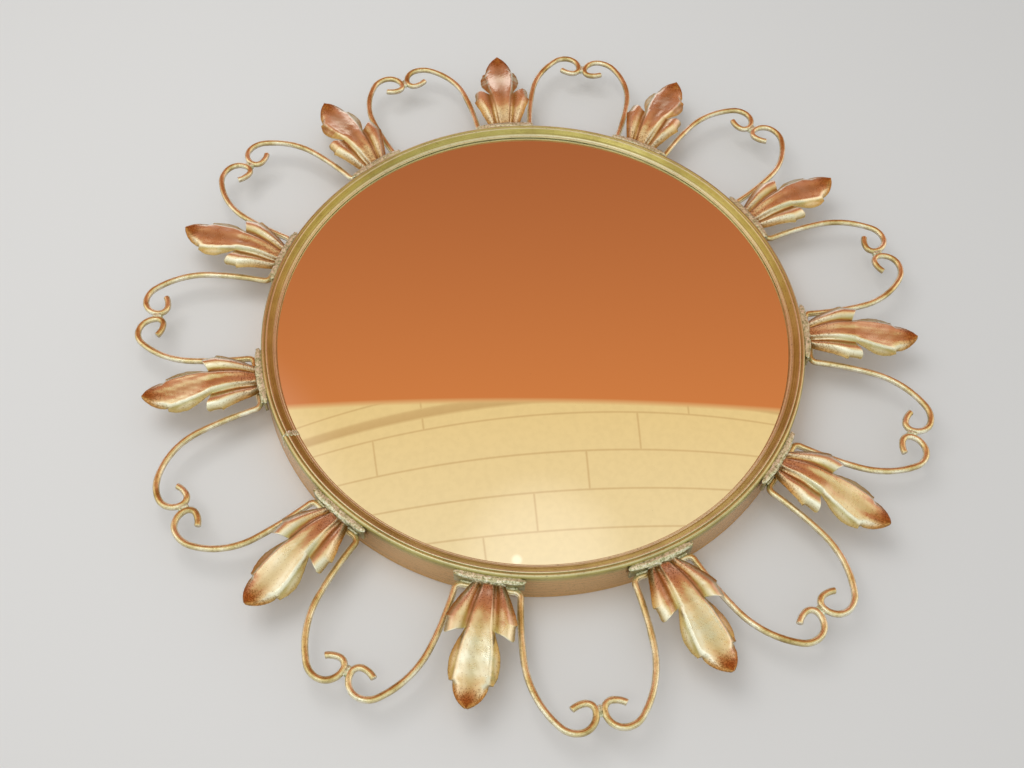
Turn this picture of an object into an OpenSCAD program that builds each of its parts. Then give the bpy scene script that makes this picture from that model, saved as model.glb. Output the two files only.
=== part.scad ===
// Round convex wall mirror. A rolled brass rim holds a domed glass, and round it stand
// stamped brass leaves with a pair of bent rods between each two, which meet in a heart.
// Inside the modules x is right, y is up and z points at the viewer, with z = 0 on the wall.
// upright() then turns each piece, so that +Z is up, the glass faces -Y and the wall is at Y = 0.
// The origin is the centre of the rim's back circle, where the mirror meets the wall.

/* [Rim] */
// Radius of the crest, the ridge line of the rim
crest_r = 172; // [150:1:200]
// Depth of the rim from the wall to the crest
rim_depth = 27; // [25:0.5:36]
// Thickness of the rolled brass strip
strip_t = 1.2; // [0.8:0.1:1.6]
// How far the side wall stands outside the crest at the shoulder
shoulder_out = 3.6; // [3:0.1:6]
// Further flare of the side wall from the shoulder to the wall
wall_flare = 1.2; // [0.4:0.1:3]
// Radius of the rounded shoulder
shoulder_r = 2.2; // [1.5:0.1:2.8]
// Depth of the thin groove between the shoulder and the crest
groove_d = 0.7; // [0.3:0.1:1]
// Width of the slope from the crest in to the lip
slope_w = 5.2; // [4:0.1:8]
// Drop of that slope
slope_drop = 3.9; // [3:0.1:6]
// Radius of the rounded lip at the glass
lip_r = 0.7; // [0.5:0.05:1]
// Radius of the rolled bead along the foot of the side wall
foot_bead_r = 0.9; // [0.6:0.1:1.4]
// Where the strip's butt seam is, in degrees anticlockwise from the right
seam_angle = 202.3; // [190:0.1:215]
// Width of the solder over the seam
seam_w = 2.2; // [0.8:0.1:3]

/* [Glass] */
// Thickness of the glass
glass_t = 3; // [2:0.5:4]
// Rise of the dome from the lip to the middle
glass_bulge = 17; // [10:0.5:24]
// Gap between the glass's edge and the side wall
glass_gap = 1; // [0.5:0.1:2]
// Width of the packing strip under the glass's edge
packing_w = 15; // [8:1:20]

/* [Back] */
// Distance from the wall to the backing board
recess = 9; // [8:0.5:12]
// Thickness of the backing board
board_t = 3.2; // [2:0.1:5]
// Gap between the board's edge and the side wall
board_gap = 0.6; // [0.3:0.1:1.5]
// Number of retaining tabs
tab_count = 6; // [4:1:10]
// Width of a retaining tab
tab_w = 14; // [8:1:20]
// How far a tab reaches in over the board
tab_reach = 11; // [6:1:18]
// Thickness of a tab
tab_t = 0.8; // [0.5:0.1:1]
// Height of the foot that a tab is soldered by
tab_foot = 6; // [4:0.5:7]

/* [Hanger] */
// Height of the hanger's hinge above the middle
hinge_y = 112; // [80:1:120]
// Thickness of the ring's wire
wire_d = 3; // [2.5:0.1:3.5]
// Width between the ring's sides, wire middle to wire middle
ring_w = 23; // [20:0.5:28]
// Length of the ring's straight sides
ring_side = 8; // [7:0.5:14]
// Radius of the ring's two upper corners
ring_corner = 3; // [2.5:0.1:4]
// Width of the hanger's strap
strap_w = 14; // [11:0.5:15]
// Length of the strap below the hinge
strap_len = 17; // [16:0.5:19]
// Thickness of the strap
strap_t = 1; // [0.8:0.1:1.2]
// Radius of a rivet's shank
rivet_r = 1.4; // [1:0.1:1.6]
// Radius of a rivet's head
rivet_head_r = 2.4; // [2:0.1:2.8]
// Height of a rivet's head
rivet_head_h = 0.9; // [0.6:0.1:1]
// Distance from the hinge to the nearer rivet
rivet_first = 6; // [5.6:0.1:7]
// Distance between the two rivets
rivet_pitch = 7; // [6:0.5:8]

/* [Units] */
// Number of leaves, and of hearts between them
unit_count = 11; // [8:1:12]
// Length of the plate that a leaf and its two rods stand on
plate_len = 41; // [36:1:48]
// Distance of the plate's front edge behind the crest
plate_drop = 1.8; // [1:0.1:3]
// Height of the plate, from its front edge back
plate_h = 10.4; // [8:0.2:12]
// Thickness of the plate
plate_t = 2; // [1:0.1:3]

/* [Scroll rods] */
// Diameter of the bent rod
rod_d = 4; // [3:0.1:4.4]
// Distance of the rods' plane behind the crest
rod_drop = 9.7; // [8:0.1:10]
// Reach of a scroll beyond the plate, to the middle of the rod
scroll_reach = 78.5; // [70:0.5:90]
// Distance along the plate from a leaf's middle to the inner end of a rod's foot
foot_in = 7; // [5:0.5:9]
// Distance along the plate from a leaf's middle to the rod's corner
foot_out = 19; // [17:0.5:22]
// Radius of the corner between the foot and the arm
corner_r = 4; // [3:0.1:5]
// Length of the first long bow of the arm
bow_len = 36; // [28:1:42]
// Outward lean of the arm where it leaves the plate, in degrees
bow_lean = 10; // [6:1:14]
// Turn of the arm's wide shoulder, as a share of the most that still closes the scroll
shoulder_share = 0.68; // [0.6:0.01:0.8]
// Radius of the turn into the heart
crown_r = 10.2; // [9:0.1:12]
// Radius of the hook after the heart
hook_r = 5; // [4:0.1:6]
// Radius of the short tail
tail_r = 14; // [10:0.5:20]
// Turn of the tail, in degrees
tail_turn = 35; // [20:1:45]
// Gap between two rods where they meet, which the solder fills
heart_gap = 0.6; // [0.5:0.05:0.8]
// Half depth of the solder in a heart, from front to back
solder_r = 2.1; // [1.8:0.1:2.3]
// Length of the solder along the rods
solder_len = 4; // [3:0.5:5]

/* [Leaves] */
// Length of a leaf from the plate to its tip
leaf_len = 71.5; // [64:0.5:78]
// Thickness of the stamped sheet
leaf_t = 0.8; // [0.5:0.1:1]
// Distance of the leaf's back behind the crest, at the plate
leaf_drop = 6.6; // [6:0.1:6.8]
// Half width of the leaf at the plate
leaf_base_w = 9; // [7:0.5:10]
// Half width across the two side lobes
side_w = 20.5; // [17:0.5:22]
// Half width at the notches between the side lobes and the middle lobe
notch_w = 8.3; // [7:0.1:10]
// Distance of those notches from the plate
notch_y = 29; // [26:0.5:31]
// Rise of a side lobe's point beyond its notch
side_rise = 3.8; // [2:0.2:6]
// Half width of the middle lobe at its widest
lobe_w = 14.2; // [12:0.2:16]
// Half width of the pointed end just past its notches
point_w = 9.8; // [8:0.2:11]
// Length of the pointed end
point_len = 14.5; // [12:0.5:18]
// Rise of the leaf's middle line over its foot, where it arches most
leaf_arch = 6.6; // [4:0.2:8]
// Height of the flutes' ridges over their troughs
flute_h = 2.5; // [1.2:0.1:3]
// Fall of the lobes' edges behind their middle
edge_fall = 3.2; // [1:0.1:4]
// Half width of the blunt tip
tip_w = 0.6; // [0.4:0.1:1.5]

/* [Hidden] */
// Gap left between pieces that are soldered, pressed or riveted together
fit = 0.05;
// Radial running clearance of the ring's bar in its strap
hinge_fit = 0.08;
// Gap left between a rod and the solder that grips it
solder_fit = 0.2;
// Half the gap between two pieces of a bent rod
joint_trim = 0.04;
// Hand-set turn of each unit round the rim, in degrees clockwise, as the leaves were soldered by eye
unit_turns = [0.8, 0.6, 0.3, 0.2, -0.5, -0.5, -0.6, -1.3, 1.6, 0.3, 0.8];
// Sideways lean of each leaf, in degrees clockwise
leaf_leans = [1.2, 0.4, 0.8, 0.6, 1.2, -4, 0.4, -0.4, 1.6, 1.2, 3.6];
// Turn of each heart round the rim, in degrees clockwise
heart_turns = [0, 0, -0.3, 0.3, -0.5, -0.7, -1, -0.3, 0.7, 0.9, 0.4];
// Rise of each scroll beyond the common reach
heart_rises = [-0.5, -1, 0.5, 0, 2, 2, 1.5, -2, -0.5, 0, -2];

// Section of the rim
wall_top_r = crest_r + shoulder_out;
wall_foot_r = wall_top_r + wall_flare;
lip_in_r = crest_r - slope_w - lip_r;
lip_z = rim_depth - slope_drop;
wall_top_z = rim_depth - shoulder_r;
function wall_in_r(z) = wall_foot_r - strip_t - wall_flare * z / wall_top_z;

// Dome of the glass
glass_r = wall_in_r(wall_top_z) - glass_gap;
glass_front_z = lip_z - lip_r - fit;
dome_r = (lip_in_r * lip_in_r + glass_bulge * glass_bulge) / (2 * glass_bulge);
dome_z = glass_front_z + glass_bulge - dome_r;
function glass_back_z(r) = dome_z + sqrt((dome_r - glass_t) * (dome_r - glass_t) - r * r);

// Board, tabs and hanger
board_r = wall_in_r(wall_top_z) - board_gap;
board_front_z = recess + board_t;
loop_in_r = wire_d / 2 + hinge_fit;
loop_out_r = loop_in_r + strap_t;
hinge_z = recess - fit - loop_out_r;
strap_z = recess - fit - strap_t;

// Plates and rods
pitch = 360 / unit_count;
plate_in_r = wall_foot_r + fit;
plate_face_r = plate_in_r + plate_t;
plate_turn = 2 * asin(plate_len / 2 / plate_face_r);
plate_top = rim_depth - plate_drop;
rod_z = rim_depth - rod_drop;
foot_r = plate_face_r + rod_d / 2 + fit;
foot_len = foot_out - corner_r - foot_in;
foot_turn = asin((foot_in + foot_len / 2) / foot_r);
heart_half = (rod_d + heart_gap) / 2;
leaf_z = rim_depth - leaf_drop;

// A value of a hand-set list, which repeats if there are more units than values
function pick(list, i) = list[i % len(list)];
// Turn of unit i, counted from 0 at the top and clockwise
function unit_turn(i) = -i * pitch - pick(unit_turns, i);
// Turn of the heart between unit i and the next
function heart_turn(i) = -(i + 0.5) * pitch - pick(heart_turns, i);

// From the viewer's frame, face on, to the hung mirror
module upright() {
    rotate([90, 0, 0])
        children();
}

// Points of an arc about c from angle a0 to a1
function arc(c, r, a0, a1, n) =
    [for (k = [0:n]) c + r * [cos(a0 + (a1 - a0) * k / n), sin(a0 + (a1 - a0) * k / n)]];

// Half width of the crest's ridge, and how far it is rounded
crest_w = 0.4;
crest_round = 0.15;

// Outside of the rim's section from the foot of the side wall to the lip
function rim_outside() = concat(
    [[wall_foot_r, 0]],
    arc([wall_top_r - shoulder_r, wall_top_z], shoulder_r, 0, 80, 6),
    [[crest_r + 2 * crest_w, rim_depth - groove_d], [crest_r + crest_w, rim_depth - crest_round]],
    [[crest_r, rim_depth], [crest_r - crest_w, rim_depth - crest_round]],
    [[crest_r - slope_w * 0.45, rim_depth - slope_drop * 0.36]],
    [[crest_r - slope_w * 0.8, rim_depth - slope_drop * 0.76]],
    arc([crest_r - slope_w, lip_z], lip_r, 60, 240, 6)
);

// Inside of the same section, from the lip back to the foot
function rim_inside() = [
    [crest_r - slope_w, lip_z - lip_r],
    [crest_r - slope_w + strip_t, lip_z - lip_r + 0.1],
    [crest_r - strip_t * 0.4, rim_depth - strip_t * 1.3 - 0.3],
    [wall_top_r - shoulder_r, rim_depth - strip_t * 1.2],
    [wall_top_r - strip_t, wall_top_z - 0.3],
    [wall_foot_r - strip_t, 0]
];

module rim() {
    color("darkgoldenrod")
    upright()
    rotate_extrude($fn = 240)
    union() {
        polygon(concat(rim_outside(), rim_inside()));
        translate([wall_foot_r - foot_bead_r + 0.3, foot_bead_r])
            circle(r = foot_bead_r, $fn = 24);
    }
}

// Solder drawn over the butt seam of the strip, across the slope and down the side
module rim_seam() {
    skin = 0.35;
    turn = seam_w / crest_r * 180 / PI;
    path = [for (p = rim_outside()) if (p[1] > rim_depth / 2) p];
    middle = [wall_top_r - shoulder_r - strip_t, wall_top_z - strip_t];
    grown = [for (p = path) p + skin * (p - middle) / norm(p - middle)];
    near = [for (p = path) p + fit * (p - middle) / norm(p - middle)];
    color("lightgray")
    upright()
    rotate(seam_angle - turn / 2)
    rotate_extrude(angle = turn, $fn = 240)
    polygon(concat(grown, [for (k = [len(near) - 1:-1:0]) near[k]]));
}

module mirror_glass() {
    color("lightsteelblue")
    upright()
    intersection() {
        cylinder(r = glass_r, h = rim_depth + glass_bulge, $fn = 240);
        translate([0, 0, dome_z])
        difference() {
            sphere(r = dome_r, $fn = 480);
            sphere(r = dome_r - glass_t, $fn = 480);
        }
    }
}

module packing_strip() {
    in_r = glass_r - packing_w;
    color("tan")
    upright()
    rotate_extrude($fn = 240)
    polygon([
        [in_r, board_front_z + fit],
        [glass_r, board_front_z + fit],
        [glass_r, glass_back_z(glass_r) - fit],
        [in_r, glass_back_z(in_r) - fit]
    ]);
}

module backing_board() {
    color("saddlebrown")
    upright()
    difference() {
        translate([0, 0, recess])
            cylinder(r = board_r, h = board_t, $fn = 240);
        for (k = [0:1])
            translate([0, hinge_y - rivet_first - k * rivet_pitch, recess - 1])
                cylinder(r = rivet_r + fit, h = board_t + 2, $fn = 32);
    }
}

// Strips soldered inside the side wall and bent over the board
module retaining_tabs() {
    turn = tab_w / board_r * 180 / PI;
    top_z = recess - fit;
    low_z = top_z - tab_foot;
    color("goldenrod")
    upright()
    for (k = [0:tab_count - 1])
        rotate(k * 360 / tab_count + 30 - turn / 2)
        rotate_extrude(angle = turn, $fn = 240)
        polygon([
            [wall_in_r(low_z) - fit, low_z],
            [wall_in_r(top_z) - fit, top_z],
            [wall_in_r(top_z) - fit - tab_reach, top_z],
            [wall_in_r(top_z) - fit - tab_reach, top_z - tab_t],
            [wall_in_r(top_z) - fit - tab_t, top_z - tab_t],
            [wall_in_r(low_z) - fit - tab_t, low_z]
        ]);
}

// Strap folded round the ring's bar and riveted to the board
module hanger_strap() {
    color("goldenrod")
    upright()
    translate([0, hinge_y, 0])
    difference() {
        union() {
            translate([-strap_w / 2, 0, hinge_z])
                rotate([0, 90, 0])
                    cylinder(r = loop_out_r, h = strap_w, $fn = 48);
            translate([-strap_w / 2, -strap_len, strap_z])
                cube([strap_w, strap_len, strap_t]);
        }
        translate([-strap_w, 0, hinge_z])
            rotate([0, 90, 0])
                cylinder(r = loop_in_r, h = 2 * strap_w, $fn = 48);
        for (k = [0:1])
            translate([0, -rivet_first - k * rivet_pitch, strap_z - 1])
                cylinder(r = rivet_r + fit, h = strap_t + 2, $fn = 32);
    }
}

// Two rivets through the strap and the board, with a head at each end
module hanger_rivets() {
    color("gold")
    upright()
    for (k = [0:1])
        translate([0, hinge_y - rivet_first - k * rivet_pitch, 0]) {
            translate([0, 0, strap_z - fit])
                cylinder(r = rivet_r, h = board_front_z - strap_z + 2 * fit, $fn = 32);
            translate([0, 0, strap_z - fit - rivet_head_h])
                cylinder(r1 = rivet_head_r * 0.7, r2 = rivet_head_r, h = rivet_head_h, $fn = 32);
            translate([0, 0, board_front_z + fit])
                cylinder(r = rivet_head_r, h = rivet_head_h, $fn = 32);
        }
}

// A bent rod is a list of steps [radius or length, turn]. Turn 0 is straight, and a positive
// turn bends to the left. A state is [x, y, heading].
function step_end(s, st) =
    st[1] == 0
    ? [s[0] + st[0] * cos(s[2]), s[1] + st[0] * sin(s[2]), s[2]]
    : let (side = sign(st[1]), h = s[2] + st[1])
      [s[0] + side * st[0] * (sin(h) - sin(s[2])), s[1] - side * st[0] * (cos(h) - cos(s[2])), h];
// State at the start of step n
function state_at(s, steps, n) = n == 0 ? s : step_end(state_at(s, steps, n - 1), steps[n - 1]);

// Each piece stops just short of the next, and a short collar, wider by a hair, joins the two.
module rod_step(s, st, d) {
    cut = st[1] == 0 ? 0 : joint_trim / st[0] * 180 / PI;
    translate([s[0], s[1], 0])
    rotate(s[2])
    if (st[1] == 0)
        translate([joint_trim, 0, 0])
        rotate([0, 90, 0])
            cylinder(d = d, h = st[0] - 2 * joint_trim, $fn = 32);
    else
        translate([0, sign(st[1]) * st[0], 0])
        rotate((st[1] > 0 ? -90 : 90 + st[1]) + cut)
        rotate_extrude(angle = abs(st[1]) - 2 * cut, $fn = 96)
            translate([st[0], 0])
                circle(d = d, $fn = 32);
}

module bent_rod(s, steps, d, first = 0) {
    for (n = [first:len(steps) - 1])
        rod_step(state_at(s, steps, n), steps[n], d);
    for (n = [first + 1:len(steps) - 1])
        let (j = state_at(s, steps, n))
        translate([j[0], j[1], 0])
        rotate(j[2])
        rotate([0, 90, 0])
            cylinder(d = d + 0.03, h = 6 * joint_trim, center = true, $fn = 32);
}

// Start of a rod: the inner end of its foot on the plate. The heart's axis is +y here, and the
// middle of the leaf lies the angle a clockwise of it.
function foot_start(a) =
    let (m = a - foot_turn, back = foot_len / 2)
    [foot_r * sin(m) + back * cos(m), foot_r * cos(m) - back * sin(m), 180 - m];

// The foot, the corner and the long bow
function arm_base(a) =
    let (m = a - foot_turn)
    [[foot_len, 0], [corner_r, m - bow_lean - 90], [bow_len / sin(bow_lean), bow_lean]];

// The whole rod. The two shoulder radii are worked out so that the scroll closes on its heart.
function arm_steps(a, rise) =
    let (
        wide = state_at(foot_start(a), arm_base(a), 3),
        across = wide[0] - heart_half - crown_r,
        up = plate_face_r + scroll_reach + rise - wide[1],
        turn = shoulder_share * 2 * atan(across / up),
        c = cos(turn),
        s = sin(turn),
        d = 1 - c - s
    )
    concat(arm_base(a), [
        [(across * (1 - s) - up * c) / d, turn],
        [((1 - c) * up - s * across) / d, 90 - turn],
        [crown_r, 90],
        [hook_r, 90],
        [tail_r, tail_turn]
    ]);

// Angle from heart i to the unit clockwise of it, and to the unit on its other side
function next_gap(i) = pitch / 2 + pick(unit_turns, (i + 1) % unit_count) - pick(heart_turns, i);
function last_gap(i) = pitch / 2 - pick(unit_turns, i) + pick(heart_turns, i);

// Rod on the clockwise side of heart i, which stands on the next unit's plate
module right_arm(i, d = rod_d, first = 0) {
    a = next_gap(i);
    rotate(heart_turn(i))
    translate([0, 0, rod_z])
    bent_rod(foot_start(a), arm_steps(a, pick(heart_rises, i)), d, first);
}

// Rod on the other side of heart i, which stands on unit i's plate
module left_arm(i, d = rod_d, first = 0) {
    a = last_gap(i);
    rotate(heart_turn(i))
    translate([0, 0, rod_z])
    mirror([1, 0, 0])
    bent_rod(foot_start(a), arm_steps(a, pick(heart_rises, i)), d, first);
}

// A unit's left rod belongs to the heart before it, and its right rod to the heart after it
module scroll_left(i) {
    color("burlywood")
    upright()
    right_arm((i + unit_count - 1) % unit_count);
}

module scroll_right(i) {
    color("burlywood")
    upright()
    left_arm(i);
}

// Solder that joins the two rods of each heart: it fills the nips in front of and behind them
module heart_solder() {
    color("silver")
    upright()
    for (i = [0:unit_count - 1])
        rotate(heart_turn(i))
        translate([0, plate_face_r + scroll_reach + pick(heart_rises, i) - crown_r, rod_z])
        rotate([90, 0, 0])
        linear_extrude(height = solder_len, center = true)
        difference() {
            circle(r = solder_r, $fn = 48);
            for (side = [-1, 1])
                translate([side * heart_half, 0])
                    circle(d = rod_d + 2 * solder_fit, $fn = 48);
        }
}

// Plate curved to the side wall
module base_plate(i) {
    color("darkseagreen")
    upright()
    rotate(unit_turn(i) + 90 - plate_turn / 2)
    rotate_extrude(angle = plate_turn, $fn = 240)
        translate([plate_in_r, plate_top - plate_h])
            square([plate_t, plate_h]);
}

// Stamped leaf. A row runs across it, and a column runs from the plate outwards. The columns
// from one side to the other are: left lobe, middle lobe, right lobe. The side lobes end at the
// last base row, and the middle lobe goes on to the point.
side_shares = [0, 0.3, 0.55, 0.8, 1];
mid_shares = [0, 0.3, 0.6, 0.82, 1];
side_cols = len(side_shares) - 1;
mid_cols = 2 * len(mid_shares) - 2;
cols = 2 * side_cols + mid_cols;
base_rows = [0, 0.12, 0.26, 0.42, 0.58, 0.72, 0.78, 0.9, 1];
lobe_rows = [0, 0.13, 0.27, 0.41, 0.55, 0.69, 0.84, 0.97, 1];
point_rows = [0.16, 0.36, 0.56, 0.74, 0.88, 0.97, 1];
nb = len(base_rows) - 1;
nl = len(lobe_rows) - 1;
np = len(point_rows);
lobe_len = leaf_len - notch_y - point_len;
// Row where a side lobe is widest, with the small torn step just past it
step_row = 0.75;
// Shares of a half width where the middle lobe and a side lobe have their ridges
twin_at = 0.6;
side_at = 0.55;
// Share of the middle lobe's length where its inside starts to narrow to the point
taper_row = 0.84;

// Height of the leaf's middle line over its foot, for t from 0 at the plate to 1 at the tip
function spine_h(t) = leaf_arch * lookup(t, [[0, 0], [0.08, 0.36], [0.16, 0.75], [0.25, 0.97], [0.33, 1],
    [0.42, 0.96], [0.55, 0.72], [0.68, 0.36], [0.8, 0.12], [0.88, 0.12], [0.95, 0.3], [1, 0.5]]);
// Half width of the middle lobe from the notch (0) to its shoulders (1)
function lobe_half(v) = v == 1 ? point_w
    : notch_w + (lobe_w - notch_w) * lookup(v, [[0, 0], [0.13, 0.24], [0.41, 0.81], [0.62, 1], [0.84, 0.9], [0.97, 0.66]]);
// The same inside the lobe, which runs on smoothly past the step in its edge
function lobe_inner(v) =
    v < taper_row ? lobe_half(v)
    : lobe_half(taper_row) + (point_w - lobe_half(taper_row)) * (v - taper_row) / (1 - taper_row) / 2;
// Half width of the pointed end, a blunt ogive
function point_half(v) = tip_w + (point_w - tip_w) * pow(1 - v * v, 0.8);
// Outer edge of a side lobe, and how far it steps in past the tear
function side_half(v) = leaf_base_w + (side_w - leaf_base_w) * pow(min(1, v / step_row), 0.85);
function side_step(v) = v < step_row ? 0 : side_w * (0.07 - 0.08 * (v - step_row));
// How far a side lobe's end reaches past the notch, from the valley (0) to its outer edge (1)
function side_end(w) = side_rise * lookup(w, [[0, 0], [0.3, 0.35], [0.8, 1], [1, 0.6]]);
// Half width of the middle strip below the notches
strip_w = 0.42 * leaf_base_w;
function strip_half(v) = strip_w + (notch_w - strip_w) * pow(v, 0.8);
// A rounded ridge whose top is at share p, from 0 in the trough to 1
function ridge(u, p) = (1 - cos(min(330, 180 * u / p))) / 2;
// Two such ridges on a middle lobe, with a height of only mid between them
function twin_ridge(u, mid) =
    u <= twin_at ? mid + (1 - mid) * (1 - cos(180 * u / twin_at)) / 2
    : (1 + cos(152 * (u - twin_at) / (1 - twin_at))) / 2;

// Point of the base rows at column c and share v of the way to the notch
function base_point(c, v) =
    let (
        m = c - cols / 2,
        side = sign(m),
        k = abs(m),
        half = mid_cols / 2
    )
    k <= half
    ? let (u = mid_shares[k], y = v * notch_y)
      [side * u * strip_half(v), y,
       spine_h(y / leaf_len) + flute_h * (1 - 0.2 * v) * twin_ridge(u, 0.92 - 0.3 * v)
          - edge_fall * 0.25 * u * u]
    : let (
        w = side_shares[k - half],
        y = v * (notch_y + side_end(w)),
        x = strip_half(v) + (side_half(v) - strip_half(v)) * w - side_step(v) * pow(w, 9)
      )
      [side * x, y,
       spine_h(y / leaf_len) + flute_h * ridge(w, side_at) - edge_fall * (0.25 + (0.15 + 0.6 * v) * w * w)];

// Point of the middle lobe beyond the notches
function lobe_point(m, v) =
    let (
        u = mid_shares[abs(m)],
        x = u * lobe_inner(v) + (lobe_half(v) - lobe_inner(v)) * pow(u, 9),
        y = notch_y + v * lobe_len
    )
    [sign(m) * x, y,
     spine_h(y / leaf_len) + flute_h * (0.8 - 0.2 * v) * twin_ridge(u, 0.62 - 0.12 * v)
        - edge_fall * (0.25 + 0.75 * sin(180 * min(1, v * 0.8))) * u * u];

// Point of the pointed end, which is spooned
function end_point(m, v) =
    let (u = mid_shares[abs(m)], y = notch_y + lobe_len + v * point_len)
    [sign(m) * u * point_half(v), y,
     spine_h(y / leaf_len) + flute_h * 0.6 * pow(1 - v, 2) * twin_ridge(u, 0.5)
        - edge_fall * 0.69 * (1 - v * 0.6) * u * u];

function leaf_points() = concat(
    [for (v = base_rows) for (c = [0:cols]) base_point(c, v)],
    [for (j = [1:nl]) for (m = [-mid_cols / 2:mid_cols / 2]) lobe_point(m, lobe_rows[j])],
    [for (v = point_rows) for (m = [-mid_cols / 2:mid_cols / 2]) end_point(m, v)]
);

// Number of a base point, and of a middle lobe point, whose row 0 is the last base row
function base_at(j, c) = j * (cols + 1) + c;
function mid_at(j, c) = j == 0 ? base_at(nb, side_cols + c)
    : (nb + 1) * (cols + 1) + (j - 1) * (mid_cols + 1) + c;
mid_rows = nl + np;

// Two triangles for each square of the grid
leaf_faces = concat(
    [for (j = [0:nb - 1]) for (c = [0:cols - 1])
        each [[base_at(j, c), base_at(j + 1, c), base_at(j + 1, c + 1)],
              [base_at(j, c), base_at(j + 1, c + 1), base_at(j, c + 1)]]],
    [for (j = [0:mid_rows - 1]) for (c = [0:mid_cols - 1])
        each [[mid_at(j, c), mid_at(j + 1, c), mid_at(j + 1, c + 1)],
              [mid_at(j, c), mid_at(j + 1, c + 1), mid_at(j, c + 1)]]]
);

// The sheet's edge, once round clockwise from the left end of the foot, seen from the front
leaf_edge = concat(
    [for (j = [0:nb]) base_at(j, 0)],
    [for (c = [1:side_cols]) base_at(nb, c)],
    [for (j = [1:mid_rows]) mid_at(j, 0)],
    [for (c = [1:mid_cols]) mid_at(mid_rows, c)],
    [for (j = [mid_rows - 1:-1:0]) mid_at(j, mid_cols)],
    [for (c = [side_cols + mid_cols + 1:cols]) base_at(nb, c)],
    [for (j = [nb - 1:-1:0]) base_at(j, cols)],
    [for (c = [cols - 1:-1:1]) base_at(0, c)]
);

module leaf(i) {
    lean = tan(pick(leaf_leans, i));
    back = [for (p = leaf_points()) [p[0] + lean * p[1], p[1], p[2]]];
    n = len(back);
    edge_n = len(leaf_edge);
    color("khaki")
    upright()
    rotate(unit_turn(i))
    translate([0, plate_face_r + fit, leaf_z])
    polyhedron(
        points = concat(back, [for (p = back) p + [0, 0, leaf_t]]),
        faces = concat(
            [for (f = leaf_faces) [f[0] + n, f[1] + n, f[2] + n]],
            [for (f = leaf_faces) [f[0], f[2], f[1]]],
            [for (k = [0:edge_n - 1])
                let (a = leaf_edge[k], b = leaf_edge[(k + 1) % edge_n])
                each [[a, b, b + n], [a, b + n, a + n]]]
        )
    );
}

// Wire ring that hangs on the hinge, with its straight bar in the strap's loop
module hanger_ring() {
    half = ring_w / 2;
    start = [-half + ring_corner, 0, 0];
    steps = [
        [ring_w - 2 * ring_corner, 0],
        [ring_corner, -90],
        [ring_side, 0],
        [half, -180],
        [ring_side, 0],
        [ring_corner, -90]
    ];
    color("gold")
    upright()
    translate([0, hinge_y, hinge_z])
    bent_rod(start, steps, wire_d);
}

rim();
rim_seam();
mirror_glass();
packing_strip();
backing_board();
retaining_tabs();
hanger_strap();
hanger_rivets();
hanger_ring();
heart_solder();
for (i = [0:unit_count - 1]) {
    base_plate(i);
    leaf(i);
    scroll_left(i);
    scroll_right(i);
}
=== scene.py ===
import bpy
import numpy as np
from math import asin, atan, copysign, cos, degrees, pi, radians, sin, tan
from mathutils import Matrix, Vector


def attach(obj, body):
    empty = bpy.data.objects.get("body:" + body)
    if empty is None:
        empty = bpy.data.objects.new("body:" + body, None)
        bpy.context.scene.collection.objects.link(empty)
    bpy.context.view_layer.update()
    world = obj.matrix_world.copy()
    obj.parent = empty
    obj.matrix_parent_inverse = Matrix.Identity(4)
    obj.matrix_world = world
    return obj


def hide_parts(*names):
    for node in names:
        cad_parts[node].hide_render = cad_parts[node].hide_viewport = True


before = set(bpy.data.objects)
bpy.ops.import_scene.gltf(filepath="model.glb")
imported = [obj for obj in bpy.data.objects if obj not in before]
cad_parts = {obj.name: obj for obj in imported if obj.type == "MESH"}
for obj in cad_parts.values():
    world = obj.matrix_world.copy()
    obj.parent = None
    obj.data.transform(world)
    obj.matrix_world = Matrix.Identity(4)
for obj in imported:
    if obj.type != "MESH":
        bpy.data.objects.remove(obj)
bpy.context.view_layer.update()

scene = bpy.context.scene
scene.view_settings.view_transform = "Standard"
print("frame loaded,", len(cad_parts), "nodes")

# Shapes are worked out face on, in millimetres: x right, y up, z out of the wall.


def stacked(*parts):
    # coordinates side by side as points; a plain number serves all of them
    return np.stack(np.broadcast_arrays(*parts), axis=-1)


def chain(*parts):
    # rows of several arrays, end to end
    return np.concatenate(parts)


def share(x):
    # kept between 0 and 1
    return np.clip(x, 0, 1)


def toRow(p):
    # x stays, z out of the wall becomes -Y, y becomes +Z, and millimetres become metres
    p = np.asarray(p, dtype=float)
    return stacked(p[..., 0], -p[..., 2], p[..., 1]) / 1000


def turned(p, degrees):
    # turns points anticlockwise about the mirror's axis
    a = radians(degrees)
    x, y = p[..., 0], p[..., 1]
    return stacked(x * cos(a) - y * sin(a), x * sin(a) + y * cos(a), p[..., 2])


def ripple(x, y, seed, size):
    # smooth noise from -1 to 1: a sum of five sine waves at odd angles, each shorter and weaker
    total, weight = 0, 0
    for k in range(5):
        angle = seed * 1.7 + k * 2.399
        wave = 2 * pi / size * 1.62 ** k
        place = x * cos(angle) + y * sin(angle)
        total = total + np.sin(wave * place + seed * 3.1 + k * 1.9) / 1.5 ** k
        weight += 1 / 1.5 ** k
    return total / weight


def gridFaces(index, wrapRows=False, wrapCols=False):
    # the corners of every cell of a grid of point numbers
    if wrapRows:
        index = chain(index, index[:1])
    if wrapCols:
        index = np.concatenate([index, index[:, :1]], axis=1)
    return stacked(index[:-1, :-1], index[:-1, 1:], index[1:, 1:], index[1:, :-1]).reshape(-1, 4)


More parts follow.
